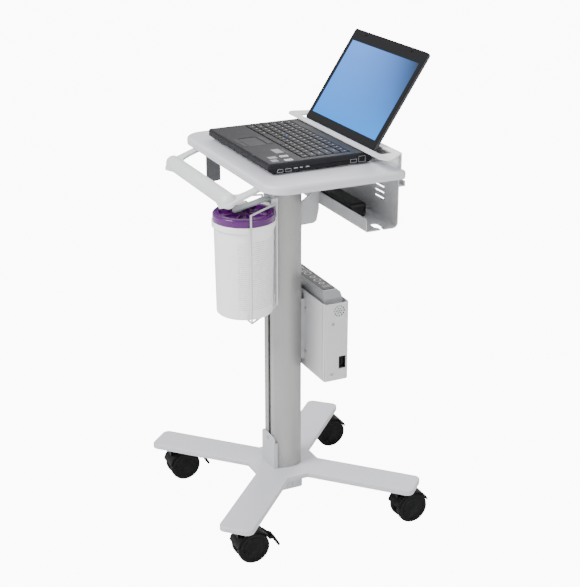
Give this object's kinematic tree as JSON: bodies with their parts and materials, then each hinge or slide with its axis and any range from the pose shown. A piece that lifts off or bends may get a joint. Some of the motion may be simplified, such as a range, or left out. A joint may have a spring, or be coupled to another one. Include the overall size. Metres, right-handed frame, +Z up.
{
  "type": "mobile laptop cart",
  "caption": "Mobile laptop cart: star base on twin-wheel casters, slotted column, worksurface with handle and cord tray, locked laptop, wipes canister holder and power box.",
  "frame": {"origin": "on the floor plane, under the column axis", "axes": "+X to the user's right, -Y towards the user (handle side), +Z up"},
  "size_m": [0.5298, 0.5317, 1.1074],
  "materials": {
    "powder_grey": "fine satin powder coat, light grey",
    "extrusion": "satin clear anodised",
    "collar_grey": "satin moulded plastic, light grey",
    "laminate": "fine textured laminate, pale lavender grey",
    "handle_grey": "satin moulded plastic, very light grey",
    "dark_hook": "satin dark grey",
    "sheet_steel": "smooth satin powder coat, light grey",
    "lock_white": "smooth satin powder coat, off white",
    "wire_white": "gloss powder coat on wire",
    "finger_grey": "satin powder coat, mid grey",
    "screw_zinc": "zinc plated",
    "tub_white": "smooth blown plastic with a printed band",
    "lid_purple": "glossy, slightly translucent, purple",
    "wipes": "wet non-woven roll",
    "box_grey": "smooth powder coat, light grey",
    "module_grey": "satin, silver grey",
    "panel_dark": "dark membrane panel",
    "laptop_black": "fine grained black plastic",
    "key_black": "matt black keycaps",
    "pad_black": "smooth satin black",
    "lid_grey": "satin charcoal",
    "screen": "lit panel, blue",
    "port_metal": "stamped connector shells",
    "caster_black": "moulded black nylon",
    "tread_black": "black polyurethane tread",
    "adapter_black": "satin black"
  },
  "bodies": {
    "frame": {"base_plate": "powder_grey", "hub_block": "powder_grey", "column": "extrusion", "column_collar": "collar_grey", "foot_cover": "sheet_steel", "worksurface": "laminate", "mounting_plate": "sheet_steel", "handle": "handle_grey", "cord_hook": "dark_hook", "rear_tray": "sheet_steel", "tray_gusset": "sheet_steel", "lock_plate": "lock_white", "holder_plate": "lock_white", "wire_basket": "wire_white", "power_box_case": "box_grey", "power_box_bracket": "sheet_steel", "power_inlet": "adapter_black", "laptop_base": "laptop_black", "laptop_deck": "laptop_black", "keyboard": "key_black", "touchpad": "pad_black", "laptop_hinges": "lid_grey", "laptop_ports": "port_metal", "caster_stems": "screw_zinc", "pan_head_screws": "screw_zinc"},
    "adapter": {"power_adapter": "adapter_black"},
    "finger": {"hold_down_finger": "finger_grey"},
    "canister": {"canister_tub": "tub_white", "canister_lid": "lid_purple", "wipes_roll": "wipes"},
    "flip_cap": {"canister_flip_cap": "lid_purple"},
    "battery": {"battery_module": "module_grey", "battery_panel": "panel_dark"},
    "click_front_left": {"click_key_front_left": "pad_black"},
    "click_front_right": {"click_key_front_right": "pad_black"},
    "click_rear_left": {"click_key_rear_left": "pad_black"},
    "click_rear_right": {"click_key_rear_right": "pad_black"},
    "drive_tray": {"disc_tray": "laptop_black"},
    "lid": {"lid_shell": "lid_grey", "lid_bezel": "laptop_black", "lid_screen": "screen"},
    "caster_front_right": {"caster_yoke_front_right": "caster_black"},
    "wheel_front_right_inner": {"wheel_front_right_inner": "tread_black"},
    "wheel_front_right_outer": {"wheel_front_right_outer": "tread_black"},
    "pedal_front_right": {"brake_pedal_front_right": "caster_black"},
    "caster_front_left": {"caster_yoke_front_left": "caster_black"},
    "wheel_front_left_inner": {"wheel_front_left_inner": "tread_black"},
    "wheel_front_left_outer": {"wheel_front_left_outer": "tread_black"},
    "pedal_front_left": {"brake_pedal_front_left": "caster_black"},
    "caster_back_right": {"caster_yoke_back_right": "caster_black"},
    "wheel_back_right_inner": {"wheel_back_right_inner": "tread_black"},
    "wheel_back_right_outer": {"wheel_back_right_outer": "tread_black"},
    "caster_back_left": {"caster_yoke_back_left": "caster_black"},
    "wheel_back_left_inner": {"wheel_back_left_inner": "tread_black"},
    "wheel_back_left_outer": {"wheel_back_left_outer": "tread_black"}
  },
  "joints": [
    {"name": "swivel_front_right", "type": "hinge", "parent": "frame", "child": "caster_front_right", "pos_m": [0.212, -0.206, 0.08], "axis": [0, 0, 1], "continuous": true},
    {"name": "roll_front_right_inner", "type": "hinge", "parent": "caster_front_right", "child": "wheel_front_right_inner", "pos_m": [0.212, -0.181, 0.038], "axis": [1, 0, 0], "continuous": true},
    {"name": "roll_front_right_outer", "type": "hinge", "parent": "caster_front_right", "child": "wheel_front_right_outer", "pos_m": [0.212, -0.181, 0.038], "axis": [1, 0, 0], "continuous": true},
    {"name": "brake_front_right", "type": "hinge", "parent": "caster_front_right", "child": "pedal_front_right", "pos_m": [0.212, -0.13209, 0.0484], "axis": [1, 0, 0], "range_deg": [-12, 0]},
    {"name": "swivel_front_left", "type": "hinge", "parent": "frame", "child": "caster_front_left", "pos_m": [-0.212, -0.206, 0.08], "axis": [0, 0, 1], "continuous": true},
    {"name": "roll_front_left_inner", "type": "hinge", "parent": "caster_front_left", "child": "wheel_front_left_inner", "pos_m": [-0.212, -0.181, 0.038], "axis": [1, 0, 0], "continuous": true},
    {"name": "roll_front_left_outer", "type": "hinge", "parent": "caster_front_left", "child": "wheel_front_left_outer", "pos_m": [-0.212, -0.181, 0.038], "axis": [1, 0, 0], "continuous": true},
    {"name": "brake_front_left", "type": "hinge", "parent": "caster_front_left", "child": "pedal_front_left", "pos_m": [-0.212, -0.13209, 0.0484], "axis": [1, 0, 0], "range_deg": [-12, 0]},
    {"name": "swivel_back_right", "type": "hinge", "parent": "frame", "child": "caster_back_right", "pos_m": [0.212, 0.206, 0.08], "axis": [0, 0, 1], "continuous": true},
    {"name": "roll_back_right_inner", "type": "hinge", "parent": "caster_back_right", "child": "wheel_back_right_inner", "pos_m": [0.212, 0.231, 0.038], "axis": [1, 0, 0], "continuous": true},
    {"name": "roll_back_right_outer", "type": "hinge", "parent": "caster_back_right", "child": "wheel_back_right_outer", "pos_m": [0.212, 0.231, 0.038], "axis": [1, 0, 0], "continuous": true},
    {"name": "swivel_back_left", "type": "hinge", "parent": "frame", "child": "caster_back_left", "pos_m": [-0.212, 0.206, 0.08], "axis": [0, 0, 1], "continuous": true},
    {"name": "roll_back_left_inner", "type": "hinge", "parent": "caster_back_left", "child": "wheel_back_left_inner", "pos_m": [-0.212, 0.231, 0.038], "axis": [1, 0, 0], "continuous": true},
    {"name": "roll_back_left_outer", "type": "hinge", "parent": "caster_back_left", "child": "wheel_back_left_outer", "pos_m": [-0.212, 0.231, 0.038], "axis": [1, 0, 0], "continuous": true},
    {"name": "lid_hinge", "type": "hinge", "parent": "frame", "child": "lid", "pos_m": [0, 0.131, 0.9016], "axis": [1, 0, 0], "range_deg": [-15, 15]},
    {"name": "finger_lift", "type": "hinge", "parent": "frame", "child": "finger", "pos_m": [0.034, -0.045, 0.783], "axis": [-1, 0, 0], "range_deg": [0, 35]},
    {"name": "canister_out", "type": "slide", "parent": "frame", "child": "canister", "axis": [0, -1, 0], "range_m": [0, 0.15]},
    {"name": "cap_flip", "type": "hinge", "parent": "canister", "child": "flip_cap", "pos_m": [-0.0135, -0.1105, 0.768], "axis": [0, -1, 0], "range_deg": [0, 90]},
    {"name": "battery_lift", "type": "slide", "parent": "frame", "child": "battery", "axis": [0, 0, 1], "range_m": [0, 0.12]},
    {"name": "click_front_left_press", "type": "slide", "parent": "frame", "child": "click_front_left", "axis": [0, 0, -1], "range_m": [0, 0.0012], "stiffness_N_per_m": 400},
    {"name": "click_front_right_press", "type": "slide", "parent": "frame", "child": "click_front_right", "axis": [0, 0, -1], "range_m": [0, 0.0012], "stiffness_N_per_m": 400},
    {"name": "click_rear_left_press", "type": "slide", "parent": "frame", "child": "click_rear_left", "axis": [0, 0, -1], "range_m": [0, 0.0012], "stiffness_N_per_m": 400},
    {"name": "click_rear_right_press", "type": "slide", "parent": "frame", "child": "click_rear_right", "axis": [0, 0, -1], "range_m": [0, 0.0012], "stiffness_N_per_m": 400},
    {"name": "drive_eject", "type": "slide", "parent": "frame", "child": "drive_tray", "axis": [1, 0, 0], "range_m": [0, 0.12]},
    {"name": "adapter_out", "type": "slide", "parent": "frame", "child": "adapter", "axis": [1, 0, 0], "range_m": [0, 0.3]}
  ]
}
